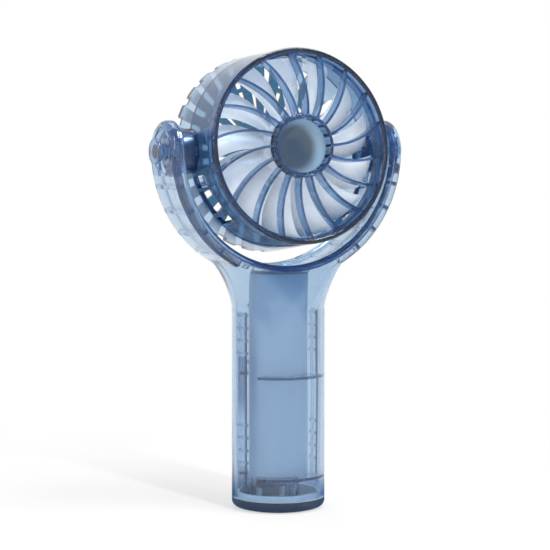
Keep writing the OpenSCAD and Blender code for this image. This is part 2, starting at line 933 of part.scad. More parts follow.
module drum() {
    color(clear_blue)
        on_head()
            difference() {
                union() {
                    difference() {
                        rotate_extrude()
                            polygon([
                                [seam_ri, 0],
                                [seam_r, 0],
                                [rim_r, rim_back],
                                [drum_ri, rim_back]
                            ]);
                        drum_windows();
                    }
                    difference() {
                        boss_half(true);
                        translate([0, 0, -1])
                            cylinder(r1 = seam_ri + boss_sink, r2 = drum_ri + boss_sink, h = rim_back + 1);
                    }
                }
                boss_bores();
            }
}

// Windows in the drum below the tilt axis, and the one for the top snap.
module drum_windows() {
    for (i = [0 : len(window_at) - 1])
        for (centre = [-window_at[i], -180 + window_at[i]])
            wedge(drum_ri - 2, seam_r + 2, window_h[0], window_h[1],
                  centre - window_span[i] / 2, window_span[i]);
    wedge(drum_ri - 2, seam_r + 2, window_h[0], window_h[1],
          snap_at[2] - window_span[0] / 2, window_span[0]);
}

// Opening between two bars, from radius a to radius b.
module guard_slot(a, b) {
    half = slot_share * 180 / bar_count;
    polygon([
        [a * cos(half), a * sin(half)],
        [b * cos(half), b * sin(half)],
        [b * cos(half), -b * sin(half)],
        [a * cos(half), -a * sin(half)]
    ]);
}

module rear_guard() {
    tie_w = 1.8;
    color(clear_blue)
        on_head() {
            difference() {
                rotate_extrude()
                    polygon([
                        [0, -head_back],
                        [back_r - 1, -head_back],
                        [back_r, -head_back + 1],
                        [seam_r, 0],
                        [seam_ri, 0],
                        [back_ri, back_in],
                        [0, back_in]
                    ]);
                for (i = [0 : bar_count - 1])
                    rotate([0, 0, (i + 0.5) * 360 / bar_count]) {
                        translate([0, 0, -head_back - 1])
                            linear_extrude(slot_wrap + 1) guard_slot(tie_r + tie_w / 2, back_r + 3);
                        translate([0, 0, -head_back - 1])
                            linear_extrude(back_t + 2) guard_slot(back_hub_r, tie_r - tie_w / 2);
                    }
                for (turn = [0, 180])
                    rotate([0, 0, turn]) translate([motor_screw_at, 0, -head_back - 1]) {
                        cylinder(r = 2 * motor_screw_r + lay_gap, h = 1 + screw_head_t);
                        cylinder(r = motor_screw_r + run_gap, h = head_back);
                    }
                boss_bores();
            }
            difference() {
                translate([0, 0, back_in - eps]) cylinder(r = motor_r + lay_gap + socket_t, h = socket_h);
                translate([0, 0, back_in - 1]) cylinder(r = motor_r + lay_gap, h = socket_h + 2);
                translate([motor_r - 2, -2 * lead_r, back_in])
                    cube([4 + socket_t, 4 * lead_r, socket_h + 1]);
            }
            difference() {
                boss_half(false);
                translate([0, 0, -boss_r - 1]) cylinder(r = seam_ri + boss_sink, h = boss_r + 2);
                boss_bores();
            }
            for (turn = snap_at)
                guard_snap(turn);
        }
}

// A springy tongue that reaches into the drum, with its barb in a window.
module guard_snap(turn) {
    ro = drum_narrow - lay_gap;
    wedge(ro - snap_t, ro, snap_low, snap_len, turn - snap_span / 2, snap_span);
    wedge(ro - snap_t, seam_ri + fuse, snap_low, -lay_gap, turn - snap_span / 2, snap_span);
    wedge(ro - eps, ro + snap_reach, snap_len - snap_barb, snap_len, turn - snap_span / 2, snap_span);
}

// Motor

module motor_can() {
    color(steel)
        on_head()
            difference() {
                translate([0, 0, can_low]) cylinder(r = motor_r, h = motor_len);
                translate([0, 0, can_low - 1]) cylinder(r = can_bore, h = motor_len + 2);
            }
}

module motor_end_bell() {
    color(black)
        on_head()
            difference() {
                translate([0, 0, bell_low]) cylinder(r = motor_r, h = end_bell_t);
                translate([0, 0, bell_low - 1]) cylinder(r = shaft_r + run_gap, h = end_bell_t + 2);
                for (turn = [0, 180])
                    rotate([0, 0, turn]) translate([motor_screw_at, 0, bell_low - 1])
                        cylinder(r = motor_screw_r + run_gap, h = end_bell_t + 2);
                for (y = [-terminal_at, terminal_at])
                    translate([-0.6, y - 0.4, bell_low - 1]) cube([1.2, 0.8, end_bell_t + 2]);
            }
}

module motor_bearing() {
    color(brass)
        on_head()
            difference() {
                translate([0, 0, can_top]) cylinder(r = bearing_r, h = bearing_t);
                translate([0, 0, can_top - 1]) cylinder(r = shaft_r + run_gap, h = bearing_t + 2);
            }
}

module motor_terminals() {
    color(brass)
        on_head()
            for (y = [-terminal_at, terminal_at])
                translate([-0.5, y - 0.3, bell_low + 0.1]) cube([1, 0.6, end_bell_t - 0.1]);
}

module motor_screws() {
    color(steel)
        on_head()
            for (turn = [0, 180])
                rotate([0, 0, turn]) translate([motor_screw_at, 0, -head_back + screw_head_t])
                    difference() {
                        screw(motor_screw_r, 2 * motor_screw_r, screw_head_t,
                              back_t - screw_head_t + motor_screw_len);
                        screw_slot(2 * motor_screw_r, screw_head_t);
                    }
}

module motor_lead_upper() {
    bend = min(seam_ri, back_ri) - 2 * lead_r;
    low = back_in + lead_knuckle + run_gap;
    color(lead_blue)
        on_head() {
            wire([bush_in - lead_half_gap, 0, 0], [bend, 0, 0], lead_r);
            wire([bend, 0, 0], [bend, 0, low], lead_r);
            wire([bend, 0, low], [motor_r + lead_r + lay_gap, 0, low], lead_r);
        }
}

module motor_shaft() {
    color(steel)
        on_head()
            translate([0, 0, bell_low + 0.3]) cylinder(r = shaft_r, h = shaft_top - bell_low - 0.3);
}

module impeller_insert() {
    color(brass)
        on_head()
            difference() {
                translate([0, 0, insert_low]) cylinder(r = insert_r, h = shaft_top - insert_low);
                translate([0, 0, insert_low - 1]) cylinder(r = shaft_r, h = shaft_top - insert_low + 2);
            }
}

// Impeller

function blade_r(i) = fan_hub_r - fan_wall / 2 + (tip_r - fan_hub_r + fan_wall / 2) * i / blade_rows;
function blade_arc(r) =
    blade_cover * 360 / blade_count * (1 - blade_taper * (r - fan_hub_r) / (tip_r - fan_hub_r));
function blade_bow(s) = blade_camber * (1 - pow(2 * s - 1, 2));

// Point of a blade: row along the radius, share of the chord, side of the sheet.
function blade_point(i, s, side) =
    let (
        r = blade_r(i),
        turn = blade_sweep * pow(i / blade_rows, 2) + blade_arc(r) * (s - 0.5),
        mid = blade_low + blade_t / 2 + (blade_h - blade_t) * s,
        z = mid + blade_bow(s) - blade_camber / 2 + side * blade_t / 2
    )
    [r * cos(turn), r * sin(turn), z];

module blade() {
    m = blade_cols + 1;
    n = (blade_rows + 1) * m;
    points = [
        for (side = [-1, 1]) for (i = [0 : blade_rows]) for (j = [0 : blade_cols])
            blade_point(i, j / blade_cols, side)
    ];
    low = [
        for (i = [0 : blade_rows - 1]) for (j = [0 : blade_cols - 1]) each [
            [i * m + j, (i + 1) * m + j + 1, i * m + j + 1],
            [i * m + j, (i + 1) * m + j, (i + 1) * m + j + 1]
        ]
    ];
    high = [for (f = low) [f[0] + n, f[2] + n, f[1] + n]];
    ring = concat(
        [for (j = [0 : blade_cols - 1]) j],
        [for (i = [0 : blade_rows - 1]) i * m + blade_cols],
        [for (j = [blade_cols : -1 : 1]) blade_rows * m + j],
        [for (i = [blade_rows : -1 : 1]) i * m]
    );
    edge = [
        for (k = [0 : len(ring) - 1])
            let (a = ring[k], b = ring[(k + 1) % len(ring)])
            each [[a, b, b + n], [a, b + n, a + n]]
    ];
    polyhedron(points, concat(low, high, edge));
}

module impeller() {
    color(pearl)
        on_head() {
            difference() {
                translate([0, 0, fan_low]) cylinder(r = fan_hub_r, h = fan_front - fan_low);
                translate([0, 0, fan_low - 1])
                    cylinder(r = fan_hub_r - fan_wall, h = fan_front - fan_face - fan_low + 1);
                translate([0, 0, insert_low - 1]) cylinder(r = insert_r, h = shaft_top - insert_low + 1);
            }
            difference() {
                translate([0, 0, insert_low])
                    cylinder(r = insert_r + insert_wall, h = fan_front - fan_face - insert_low + eps);
                translate([0, 0, insert_low - 1]) cylinder(r = insert_r, h = fan_front);
            }
            for (i = [0 : blade_count - 1])
                rotate([0, 0, i * 360 / blade_count]) blade();
        }
}

front_shell();
rear_shell();
base_cap();
foot_pad();
base_screws();
battery_sleeve();
sleeve_plug();
battery_cell();
battery_contacts();
control_board();
button_switch();
status_led();
status_lens();
power_button();
usb_board();
usb_socket();
pivot_pin_left();
pivot_pin_right();
thrust_washer_left();
thrust_washer_right();
motor_lead_lower();
front_grille();
hub_cap();
drum();
rear_guard();
friction_bush_left();
friction_bush_right();
motor_can();
motor_end_bell();
motor_bearing();
motor_terminals();
motor_screws();
motor_lead_upper();
motor_shaft();
impeller();
impeller_insert();
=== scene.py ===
"""Looks of the handheld fan: clear blue shells, swirl grille, pearl impeller and the studio."""

import json
import math
from typing import NamedTuple

import bpy
import numpy as np
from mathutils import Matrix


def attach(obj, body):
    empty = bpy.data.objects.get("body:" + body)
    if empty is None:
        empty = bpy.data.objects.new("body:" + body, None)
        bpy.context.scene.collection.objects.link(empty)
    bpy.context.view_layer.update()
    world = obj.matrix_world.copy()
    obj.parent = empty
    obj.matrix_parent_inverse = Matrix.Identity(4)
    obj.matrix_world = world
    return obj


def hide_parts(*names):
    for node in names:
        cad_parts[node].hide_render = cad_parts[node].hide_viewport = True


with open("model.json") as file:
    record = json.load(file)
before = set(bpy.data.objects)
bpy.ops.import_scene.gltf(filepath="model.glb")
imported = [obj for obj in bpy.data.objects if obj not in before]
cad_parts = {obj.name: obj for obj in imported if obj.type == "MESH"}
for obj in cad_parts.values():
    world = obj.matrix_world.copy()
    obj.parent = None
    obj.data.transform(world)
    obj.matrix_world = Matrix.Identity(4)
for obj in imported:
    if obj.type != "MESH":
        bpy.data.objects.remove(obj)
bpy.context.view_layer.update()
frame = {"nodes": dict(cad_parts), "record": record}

bl_info = {
    "name": "Handheld fan",
    "version": (1, 0, 0),
    "blender": (4, 5, 0),
    "location": "3D View > Sidebar > Fan",
    "description": "Dresses the handheld fan's solids and sets up its studio",
    "category": "Object",
}

MM = 0.001
JOINTS = {joint["name"]: joint for joint in frame["record"]["behaviour"]["joints"]}
# The head's own directions: its middle on the tilt axis, its axis to the front, its up and its right.
PIVOT = np.array(JOINTS["head_tilt"]["pos_m"])
FRONT = np.array(JOINTS["fan_spin"]["axis"])
UP = np.array([0.0, FRONT[2], -FRONT[1]])
RIGHT = np.array([1.0, 0.0, 0.0])

# Skins of CAD nodes: how far they are drawn in, and the distance within which corners are joined.
SKIN_GAP = 0.02 * MM
MERGE_STEP = 0.001 * MM

# Clear plastics: refraction, scale of the tint's noise, and its darker end as a share of the lighter one.
PLASTIC_IOR = 1.46
CLEAR_GRAIN = 45.0
CLEAR_DARKER = 0.985
# How much of the noise shows in a tint that a mask places, and the detail of the noise in a relief.
MASK_NOISE = 0.06
RELIEF_DETAIL = 4.0

# Places of a Mix node's colour sockets among its inputs and outputs.
MIX_FIRST = 6
MIX_SECOND = 7
MIX_RESULT = 2

# Pairs of colours between which the finishes of small pieces wander.
CELL_WRAP = ((0.05, 0.16, 0.42), (0.06, 0.19, 0.47))
RUBBER = ((0.012, 0.012, 0.014), (0.03, 0.03, 0.033))
STEEL = ((0.5, 0.51, 0.53), (0.62, 0.63, 0.65))
BRASS = ((0.55, 0.4, 0.16), (0.66, 0.5, 0.22))
SOLDER_MASK = ((0.04, 0.11, 0.24), (0.055, 0.14, 0.29))
BLACK_PLASTIC = ((0.015, 0.015, 0.017), (0.03, 0.03, 0.033))
WHITE_PLASTIC = ((0.76, 0.77, 0.78), (0.84, 0.85, 0.86))
LENS = ((0.85, 0.9, 0.95), (0.9, 0.94, 0.97))
LEAD_SHEATH = ((0.7, 0.77, 0.86), (0.76, 0.83, 0.91))
NATURAL_NYLON = ((0.8, 0.87, 0.94), (0.84, 0.9, 0.96))

# Studio: colour of its dark sides in clear and glossy pieces, the photograph's frame, the light's bounces.
WHITE = (1.0, 1.0, 1.0)
DARK_SIDE = (0.045, 0.17, 0.37)
FRAME_PIXELS = 550.0
CLEAR_BOUNCES = 48
GLOSSY_BOUNCES = 32
ALPHA_BOUNCES = 16


class Lamp(NamedTuple):
    """A soft lamp: its place and the sides of its area in metres, and its power in watts."""

    place: tuple
    sides: tuple
    power: float


# The floor lamp is low and lights the floor alone, so that the object throws a long pale shadow on it.
FLOOR_LAMP = "floor_lamp"
LAMP_AIM = np.array([0.0, 0.0, 0.12])
LAMPS = {
    "key_lamp": Lamp(place=(0.45, -0.62, 1.45), sides=(0.6, 0.6), power=22.0),
    "side_lamp": Lamp(place=(-1.2, -0.4, 0.7), sides=(0.3, 0.9), power=7.0),
    "top_lamp": Lamp(place=(0.1, 0.5, 1.5), sides=(0.8, 0.8), power=9.0),
    FLOOR_LAMP: Lamp(place=(0.127, -1.266, 0.795), sides=(0.1, 0.1), power=26.0),
}


class Relief(NamedTuple):
    """Fine relief of a surface: scale of its noise, strength of the bump and its depth in metres."""

    scale: float
    strength: float
    depth: float


class Sock:
    """A shader socket that Python's operators work on: each one adds a Math node."""

    def __init__(self, finish, socket):
        self.finish = finish
        self.socket = socket

    def maths(self, operation, first, second):
        return self.finish.node("ShaderNodeMath", {"operation": operation}, {0: first, 1: second})

    def __add__(self, other):
        return self.maths("ADD", self, other)

    def __radd__(self, other):
        return self.maths("ADD", other, self)

    def __sub__(self, other):
        return self.maths("SUBTRACT", self, other)

    def __rsub__(self, other):
        return self.maths("SUBTRACT", other, self)

    def __mul__(self, other):
        return self.maths("MULTIPLY", self, other)

    def __rmul__(self, other):
        return self.maths("MULTIPLY", other, self)

    def __pow__(self, other):
        return self.maths("POWER", self, other)

    def __abs__(self):
        return self.maths("ABSOLUTE", self, 0.0)

    def at_least(self, other):
        return self.maths("MAXIMUM", self, other)


class Finish:
    """A node tree with one method that adds any node."""

    def __init__(self, tree):
        self.tree = tree
        tree.nodes.clear()

    def node(self, kind, settings=None, inputs=None, out=0):
        """Adds a node, sets its settings, then feeds its sockets, and gives back an output if it has any."""
        made = self.tree.nodes.new(kind)
        for key, value in (settings or {}).items():
            setattr(made, key, value)
        for key, value in (inputs or {}).items():
            if isinstance(value, Sock):
                self.tree.links.new(value.socket, made.inputs[key])
            else:
                made.inputs[key].default_value = value
        return Sock(self, made.outputs[out]) if len(made.outputs) else None

    def place(self):
        """The piece's own coordinates, which are the part's at rest."""
        return self.node("ShaderNodeTexCoord", out="Object")

    def along(self, place, axis):
        """One coordinate of a place."""
        return self.node("ShaderNodeSeparateXYZ", None, {"Vector": place}, axis)

    def vector(self, operation, first, second, out="Vector"):
        """Maths on two vectors."""
        return self.node("ShaderNodeVectorMath", {"operation": operation}, {0: first, 1: second}, out)

    def length(self, vector):
        """The length of a vector."""
        return self.node("ShaderNodeVectorMath", {"operation": "LENGTH"}, {0: vector}, "Value")

    def handle_radius(self):
        """Distance from the handle's axis, which is the part's upright one."""
        return self.length(self.vector("MULTIPLY", self.place(), (1.0, 1.0, 0.0)))

    def noise(self, scale, detail=3.0, roughness=0.5):
        """Noise over the piece's own coordinates, between 0 and 1."""
        return self.node("ShaderNodeTexNoise", None, {
            "Vector": self.place(), "Scale": scale, "Detail": detail, "Roughness": roughness}, "Fac")

    def between(self, factor, first, second):
        """A colour between two colours."""
        return self.node("ShaderNodeMix", {"data_type": "RGBA"}, {
            "Factor": factor, MIX_FIRST: (*first, 1.0), MIX_SECOND: (*second, 1.0)}, MIX_RESULT)

    def ramp(self, value, start, stop, low=0.0, high=1.0):
        """A smooth rise from low at start to high at stop."""
        return self.node("ShaderNodeMapRange", {"interpolation_type": "SMOOTHSTEP"}, {
            "Value": value, "From Min": start, "From Max": stop, "To Min": low, "To Max": high})

    def bump(self, relief):
        """The surface's normal over a relief of noise."""
        return self.node("ShaderNodeBump", None, {
            "Height": self.noise(relief.scale, RELIEF_DETAIL), "Strength": relief.strength,
            "Distance": relief.depth})

    def light_path(self, out):
        """What a ray is, or what it has come through."""
        return self.node("ShaderNodeLightPath", out=out)

    def from_matt(self):
        """1 for light that a matt surface gathers, 0 for what is seen straight, in gloss or in glass."""
        half_a_bounce = 0.5
        return self.node("ShaderNodeMath", {"operation": "GREATER_THAN"}, {
            0: self.light_path("Diffuse Depth"), 1: half_a_bounce})


def principled(name, colours, rough, grain, relief=None, absorb=None, mask=None, **constants):
    """A material whose colour and roughness wander between two values with a fine noise.

    colours and rough are pairs of ends, and grain is the scale of the noise between them;
    absorb is the share of light left after one millimetre of the stuff, for clear plastics;
    mask says where the second colour is, in place of the noise.
    """
    material = bpy.data.materials.new(name)
    material.use_nodes = True
    finish = Finish(material.node_tree)
    wander = finish.noise(grain)
    share = mask(finish) + MASK_NOISE * (wander - 0.5) if mask else wander
    feeds = {
        "Base Color": finish.between(share, *colours),
        "Roughness": rough[0] + (rough[1] - rough[0]) * wander,
    }
    if relief:
        feeds["Normal"] = finish.bump(relief)
    for key, value in constants.items():
        feeds[key.replace("_", " ")] = value
    ends = {"Surface": finish.node("ShaderNodeBsdfPrincipled", None, feeds)}
    if absorb:
        loss = [-math.log(part) / MM for part in absorb]
        density = max(loss)
        ends["Volume"] = finish.node("ShaderNodeVolumeAbsorption", None, {
            "Color": (*[1.0 - part / density for part in loss], 1.0), "Density": density})
    finish.node("ShaderNodeOutputMaterial", None, ends)
    return material


def clear_plastic(name, tint, left, depth, clarity, rough, second=None, mask=None):
    """Clear tinted plastic that darkens with the length of the way through it.

    left is the light left after one millimetre, and depth the power that deepens it;
    second is the colour where the mask is 1, which on the drum and on the left tongue is painted shade, and
    without a mask the tint hardly wanders.
    """
    return principled(name, (tint, second or scaled(tint, CLEAR_DARKER)), rough, CLEAR_GRAIN,
                      absorb=[share ** depth for share in left], mask=mask,
                      Transmission_Weight=clarity, IOR=PLASTIC_IOR)


def scaled(colour, factor):
    """A colour made lighter or darker by a factor."""
    return tuple(min(1.0, part * factor) for part in colour)


def dress(material, *names):
    """Gives CAD nodes a material."""
    for name in names:
        piece = frame["nodes"][name]
        piece.data.materials.clear()
        piece.data.materials.append(material)


def sleeve_top_painted_shade(finish):
    """Painted shade: rises from 0 to 1 up the sleeve, with a ragged edge under its top, for the shadow that
    the head throws on the sleeve's top.
    """
    low = 78.0 * MM
    high = 102.0 * MM
    shade_edge_depth = 60.0 * MM
    shading = finish.noise(scale=70.0, detail=2.0)
    height = finish.along(finish.place(), "Z")
    return finish.ramp(height + shade_edge_depth * (shading - 0.5), low, high)


def inside_cap(finish):
    """1 on the inside of the base cap and on the spigot above it, 0 on its outer wall."""
    wall_top = 5.0 * MM
    floor_top = 2.0 * MM
    inner_radius = 18.0 * MM
    edge = 0.1 * MM
    height = finish.along(finish.place(), "Z")
    above = finish.ramp(height, wall_top - edge, wall_top)
    within = finish.ramp(finish.handle_radius(), inner_radius + edge, inner_radius)
    return above.at_least(within * finish.ramp(height, floor_top - edge, floor_top))


def tongue_painted_shade(finish):
    """Painted shade: 1 on the tongue inside the left seam between its ladders, less on and below these, 0
    elsewhere; these dark bars on the left side only stand in for the shade seen through that seam.
    """
    ladder_share = 0.25
    below_share = 0.4
    bar_low = 36.8 * MM
    bar_full = 50.0 * MM
    bar_top = 66.8 * MM
    ladder_low = 19.8 * MM
    edge = 1.0 * MM
    low_edge = 0.8 * MM
    tongue_radius = 18.18 * MM
    wall_edge = 0.06 * MM
    left_side = -15.0 * MM
    side_edge = 0.5 * MM
    height = finish.along(finish.place(), "Z")
    side = finish.along(finish.place(), "X")
    middle = finish.ramp(height, bar_low, bar_full) * finish.ramp(height, bar_top, bar_top - edge)
    below = finish.ramp(height, ladder_low, ladder_low - low_edge)
    bars = ladder_share + (1.0 - ladder_share) * middle + below_share * below
    tongue = finish.ramp(finish.handle_radius(), tongue_radius, tongue_radius - wall_edge)
    return bars * tongue * finish.ramp(side, left_side, left_side - side_edge)


def from_pivot(finish, middle=(0.0, 0.0, 0.0)):
    """The place on a piece, from the middle of the tilt axis or from another point in head coordinates."""
    return finish.vector("SUBTRACT", finish.place(), tuple(to_head(np.array(middle))))


def on_head(finish, middle=(0.0, 0.0, 0.0)):
    """Height along the head's axis, and radius about it or about a line beside it through a point."""
    place = from_pivot(finish, middle)
    height = finish.vector("DOT_PRODUCT", place, tuple(FRONT), "Value")
    reach = finish.length(place)
    return height, (reach * reach - height * height) ** 0.5


def back_plate(finish):
    """1 on the plate at the back of the guard, 0 on the wall round it."""
    plate_height = -13.0 * MM
    plate_edge = 2.0 * MM
    plate_radius = 37.0 * MM
    wall_radius = 40.0 * MM
    height, radius = on_head(finish)
    behind = finish.ramp(height, plate_height + plate_edge, plate_height)
    return behind * finish.ramp(radius, wall_radius, plate_radius)


def grille_rim(finish):
    """1 on the rim of the grille, 0 on its ribs and hub."""
    rib_end = 39.0 * MM
    rim_start = 40.5 * MM
    return finish.ramp(on_head(finish)[1], rib_end, rim_start)


def drum_low_painted_shade(finish):
    """Painted shade and light: rises from the drum's top to its bottom, and is low on the pivot bosses, so
    that the wall is lighter on top and darker below, as light falls from above.
    """
    boss_start = 44.5 * MM
    wall_end = 43.5 * MM
    boss_share = 0.35
    top = 20.0 * MM
    bottom = -28.0 * MM
    top_share = 0.36
    place = from_pivot(finish)
    side = abs(finish.along(place, "X"))
    wall = finish.ramp(side, boss_start, wall_end, low=boss_share)
    return wall * finish.ramp(finish.along(place, "Z"), top, bottom, low=top_share)


def disc_painted_light(finish):
    """Painted light: rises from 0 in the dish of the hub disc to 1 on a lit crescent at the side that faces
    the light.
    """
    dish_middle = (-3.4 * MM, -0.7 * MM, 0.0)
    dish_radius = 7.4 * MM
    crescent_radius = 12.6 * MM
    return finish.ramp(on_head(finish, dish_middle)[1], dish_radius, crescent_radius)


def grid_faces(rows, columns, wrap_rows=False):
    """Quads of a grid of points, row after row, whose columns join round, and whose rows do if asked."""
    row = np.arange(rows if wrap_rows else rows - 1)
    row, column = np.meshgrid(row, np.arange(columns), indexing="ij")
    next_row = (row + 1) % rows
    next_column = (column + 1) % columns
    corners = [row * columns + column, row * columns + next_column,
               next_row * columns + next_column, next_row * columns + column]
    return np.stack(corners, axis=-1).reshape(-1, 4)


def add_piece(name, points, faces, material, body, smooth_angle):
    """Puts arrays of points and faces into a mesh object that rides on a body.

    Edges that bend by more than smooth_angle, in degrees, stay sharp.
    """
    mesh = bpy.data.meshes.new(name)
    mesh.from_pydata(points.tolist(), [], faces.tolist())
    mesh.validate()
    mesh.update()
    mesh.shade_smooth()
    mesh.set_sharp_from_angle(angle=math.radians(smooth_angle))
    mesh.materials.append(material)
    piece = bpy.data.objects.new(name, mesh)
    bpy.context.scene.collection.objects.link(piece)
    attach(piece, body)
    return piece


def to_head(points):
    """Head coordinates, x right, y up, z along the axis to the front, turned into the part's frame."""
    return PIVOT + points[..., :1] * RIGHT + points[..., 1:2] * UP + points[..., 2:] * FRONT


def skin(node, material, body, smooth_angle=25.0):
    """A CAD node's triangles with their shared corners joined, so that small facets shade as one skin.

    Each point is drawn in along its normal by a hair, so that clear pieces that touch keep air between them.
    """
    mesh = frame["nodes"][node].data
    points = np.empty(len(mesh.vertices) * 3)
    mesh.vertices.foreach_get("co", points)
    points = points.reshape(-1, 3)
    corners = np.empty(len(mesh.loops), dtype=np.int64)
    mesh.loops.foreach_get("vertex_index", corners)
    keys = np.round(points / MERGE_STEP).astype(np.int64)
    first, joined = np.unique(keys, axis=0, return_index=True, return_inverse=True)[1:]
    faces = joined.reshape(-1)[corners].reshape(-1, 3)
    keep = (faces != np.roll(faces, 1, axis=1)).all(axis=1)
    piece = add_piece(node + "_skin", points[first], faces[keep], material, body, smooth_angle)
    places = np.empty(len(first) * 3)
    outward = np.empty(len(first) * 3)
    piece.data.vertices.foreach_get("co", places)
    piece.data.vertices.foreach_get("normal", outward)
    piece.data.vertices.foreach_set("co", places - SKIN_GAP * outward)
    piece.data.update()
    weighted = piece.modifiers.new("even_skin", "WEIGHTED_NORMAL")
    weighted.keep_sharp = True
    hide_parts(node)


def blades(sizes):
    """Points and faces of all blades.

    A blade's section is a closed loop round its sheet, bowed along the chord and rounded at both edges.
    The loop is carried from the root to the tip, where it narrows to a rounded end, while its chord
    spans the blade's share of the circle and climbs along the axis by the blade's depth.
    """
    rows = 28
    columns = 36
    edge_power = 0.45
    tip_share = 0.02
    share = np.linspace(0.0, 1.0, rows)
    turn = np.linspace(0.0, 2.0 * np.pi, columns, endpoint=False)
    along = 0.5 - 0.5 * np.cos(turn)
    half = np.sign(np.sin(turn)) * np.abs(np.sin(turn)) ** edge_power
    radius = sizes.root_radius + (sizes.tip_radius - sizes.root_radius) * share
    outer = np.clip((radius - sizes.hub_radius) / (sizes.tip_radius - sizes.hub_radius), 0.0, 1.0)
    pitch = 2.0 * np.pi / sizes.blade_count
    arc = sizes.blade_cover * pitch * (1.0 - sizes.blade_taper * outer)
    close = np.sqrt(np.clip((1.0 - share) / tip_share, 0.0, 1.0))
    angle = sizes.blade_sweep * share[:, None] ** 2 + arc[:, None] * (along[None] - 0.5)
    bow = sizes.blade_camber * (0.5 - (2.0 * along - 1.0) ** 2)
    climb = (sizes.blade_height - sizes.blade_thick) * along
    middle = sizes.blade_low + 0.5 * sizes.blade_thick + climb + bow
    height = middle[None] + half[None] * close[:, None] * 0.5 * sizes.blade_thick
    angle = angle[None] + np.arange(sizes.blade_count)[:, None, None] * pitch
    radius = radius[:, None]
    height = np.broadcast_to(height, angle.shape)
    points = np.stack([radius * np.cos(angle), radius * np.sin(angle), height], axis=-1)
    starts = np.arange(sizes.blade_count)[:, None, None] * rows * columns
    faces = (grid_faces(rows, columns)[None] + starts).reshape(-1, 4)
    return points.reshape(-1, 3), faces


def revolve(profile, steps=128):
    """Points and faces of a closed profile of radius and height turned about the axis."""
    angle = np.linspace(0.0, 2.0 * np.pi, steps, endpoint=False)
    points = np.stack([
        profile[:, 0][None] * np.cos(angle)[:, None],
        profile[:, 0][None] * np.sin(angle)[:, None],
        np.broadcast_to(profile[:, 1], (steps, len(profile))),
    ], axis=-1).reshape(-1, 3)
    return points, grid_faces(steps, len(profile), wrap_rows=True)[:, ::-1]


def impeller_hub(sizes):
    """Hub cup: a wall with a rounded front edge and a front face with a hole and a boss for the insert."""
    wall = 1.4 * MM
    face = 2.0 * MM
    rim = 1.2 * MM
    front = 17.2 * MM
    hole = 2.6 * MM
    boss = hole + wall
    boss_low = 8.5 * MM
    radius = sizes.hub_radius
    inner = radius - wall
    bend_steps = 8
    bend = np.linspace(0.0, 0.5 * np.pi, bend_steps)
    corner = np.stack([radius - rim + rim * np.cos(bend), front - rim + rim * np.sin(bend)], axis=-1)
    profile = np.concatenate([
        [[inner, sizes.hub_low], [radius, sizes.hub_low]],
        corner,
        [[hole, front], [hole, boss_low], [boss, boss_low], [boss, front - face], [inner, front - face]],
    ])
    return revolve(profile)


def add_camera(scene, studio):
    """Camera as the photograph was taken, for a square frame."""
    data = bpy.data.cameras.new("camera")
    data.lens = studio.focal / FRAME_PIXELS * data.sensor_width
    camera = bpy.data.objects.new("camera", data)
    camera.location = (math.sin(studio.azimuth) * studio.distance,
                       -math.cos(studio.azimuth) * studio.distance, studio.height)
    camera.rotation_euler = (math.radians(90) - studio.pitch, 0.0, studio.azimuth + studio.yaw)
    scene.collection.objects.link(camera)
    scene.camera = camera


def paper(finish, low, high):
    """Matt paper whose grey wanders between two values."""
    grain = finish.noise(scale=30.0)
    return finish.node("ShaderNodeBsdfDiffuse", None, {
        "Color": finish.between(grain, (low,) * 3, (high,) * 3)})


def add_floor(scene):
    """White floor that keeps the object's shadow near it and thins it further out, as the camera sees it.

    Clear and glossy pieces see a floor that is dark close to the object and white further out.
    """
    side = 6.0
    near = 0.03
    shadow_end = 0.26
    near_white = 0.6
    dark_end = 0.12
    mesh = bpy.data.meshes.new("floor")
    corners = [(-side, -side, 0.0), (side, -side, 0.0), (side, side, 0.0), (-side, side, 0.0)]
    mesh.from_pydata(corners, [], [(0, 1, 2, 3)])
    material = bpy.data.materials.new("floor_paper")
    material.use_nodes = True
    finish = Finish(material.node_tree)
    away = finish.length(finish.place())
    white = finish.node("ShaderNodeEmission", None, {"Color": (*WHITE, 1.0), "Strength": 1.0})
    thinned = finish.node("ShaderNodeMixShader", None, {
        0: finish.ramp(away, near, shadow_end, low=near_white),
        1: paper(finish, low=0.405, high=0.415), 2: white})
    seen = finish.node("ShaderNodeMixShader", None, {
        0: finish.light_path("Is Camera Ray"), 1: paper(finish, low=0.62, high=0.64), 2: thinned})
    through = finish.node("ShaderNodeEmission", None, {
        "Color": finish.between(finish.ramp(away, near, dark_end), DARK_SIDE, WHITE), "Strength": 1.0})
    clear = finish.light_path("Is Glossy Ray") + finish.light_path("Is Transmission Ray")
    mixed = finish.node("ShaderNodeMixShader", None, {
        0: clear * (1.0 - finish.from_matt()), 1: seen, 2: through})
    finish.node("ShaderNodeOutputMaterial", None, {"Surface": mixed})
    mesh.materials.append(material)
    floor = bpy.data.objects.new("floor", mesh)
    scene.collection.objects.link(floor)
    return floor


def add_lamps(scene, floor):
    """Soft lamps turned to the object's middle, of which the floor lamp lights the floor alone."""
    lit = bpy.data.collections.new("lit_by_floor_lamp")
    lit.objects.link(floor)
    for name, plan in LAMPS.items():
        data = bpy.data.lights.new(name, "AREA")
        data.shape = "RECTANGLE"
        data.size, data.size_y = plan.sides
        data.energy = plan.power
        lamp = bpy.data.objects.new(name, data)
        lamp.location = plan.place
        to = LAMP_AIM - np.array(plan.place)
        level = math.hypot(to[0], to[1])
        lamp.rotation_euler = (math.atan2(level, -to[2]), 0.0, math.atan2(to[1], to[0]) - math.radians(90))
        scene.collection.objects.link(lamp)
        if name == FLOOR_LAMP:
            lamp.light_linking.receiver_collection = lit


